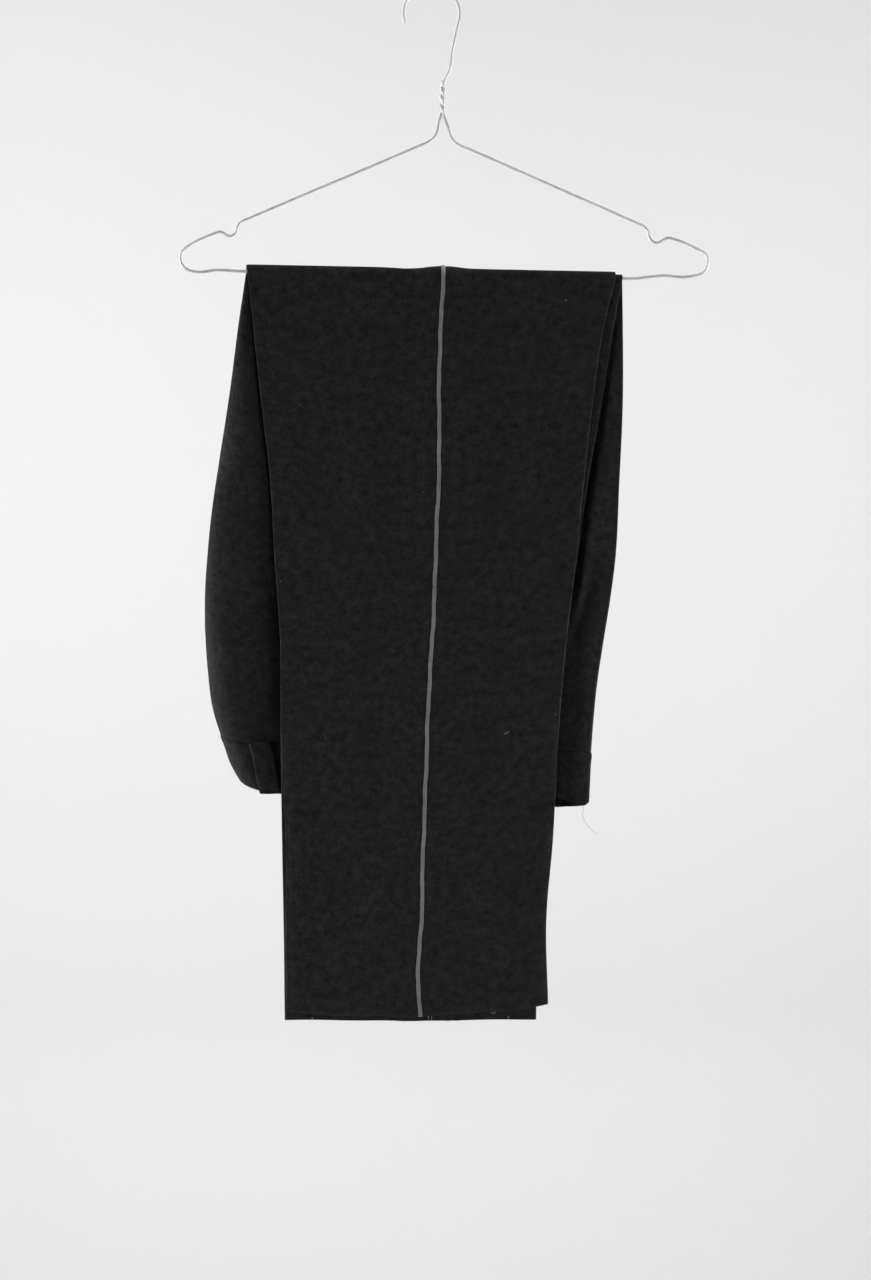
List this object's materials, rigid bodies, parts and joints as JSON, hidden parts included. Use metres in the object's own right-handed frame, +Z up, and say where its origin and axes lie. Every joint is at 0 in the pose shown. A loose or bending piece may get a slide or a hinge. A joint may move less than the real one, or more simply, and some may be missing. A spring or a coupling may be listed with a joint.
{
  "type": "trousers on a wire hanger",
  "caption": "Dark heavy wool uniform trousers with piped side seams, creased and folded leg on leg over the bar of a notched wire hanger.",
  "frame": {"origin": "inner top of the hanger's hook, where a rail carries it, at the middle of the wire's plane", "axes": "+Z up along the hanging garment, +X to the wearer's front, where the front creases and the fly are, and -Y to the side that the legs hang on"},
  "size_m": [0.4148, 0.076, 0.81],
  "materials": {
    "black_wool": "matt, felted wool with a short nap",
    "grey_piping": "matt folded strip",
    "dark_button": "satin",
    "hanger_wire": "plain drawn wire"
  },
  "bodies": {
    "root": {"arm_left": "hanger_wire", "arm_right": "hanger_wire", "back_left": "black_wool", "back_right": "black_wool", "bar_wire": "hanger_wire", "belt_loop_back_left": "black_wool", "belt_loop_back_right": "black_wool", "belt_loop_front_left": "black_wool", "belt_loop_front_right": "black_wool", "belt_loop_side_left": "black_wool", "belt_loop_side_right": "black_wool", "fly_shield": "black_wool", "front_left": "black_wool", "front_right": "black_wool", "hook_wire": "hanger_wire", "piping_left": "grey_piping", "piping_right": "grey_piping", "waist_button": "dark_button", "waistband_left": "black_wool", "waistband_right": "black_wool"}
  },
  "joints": []
}
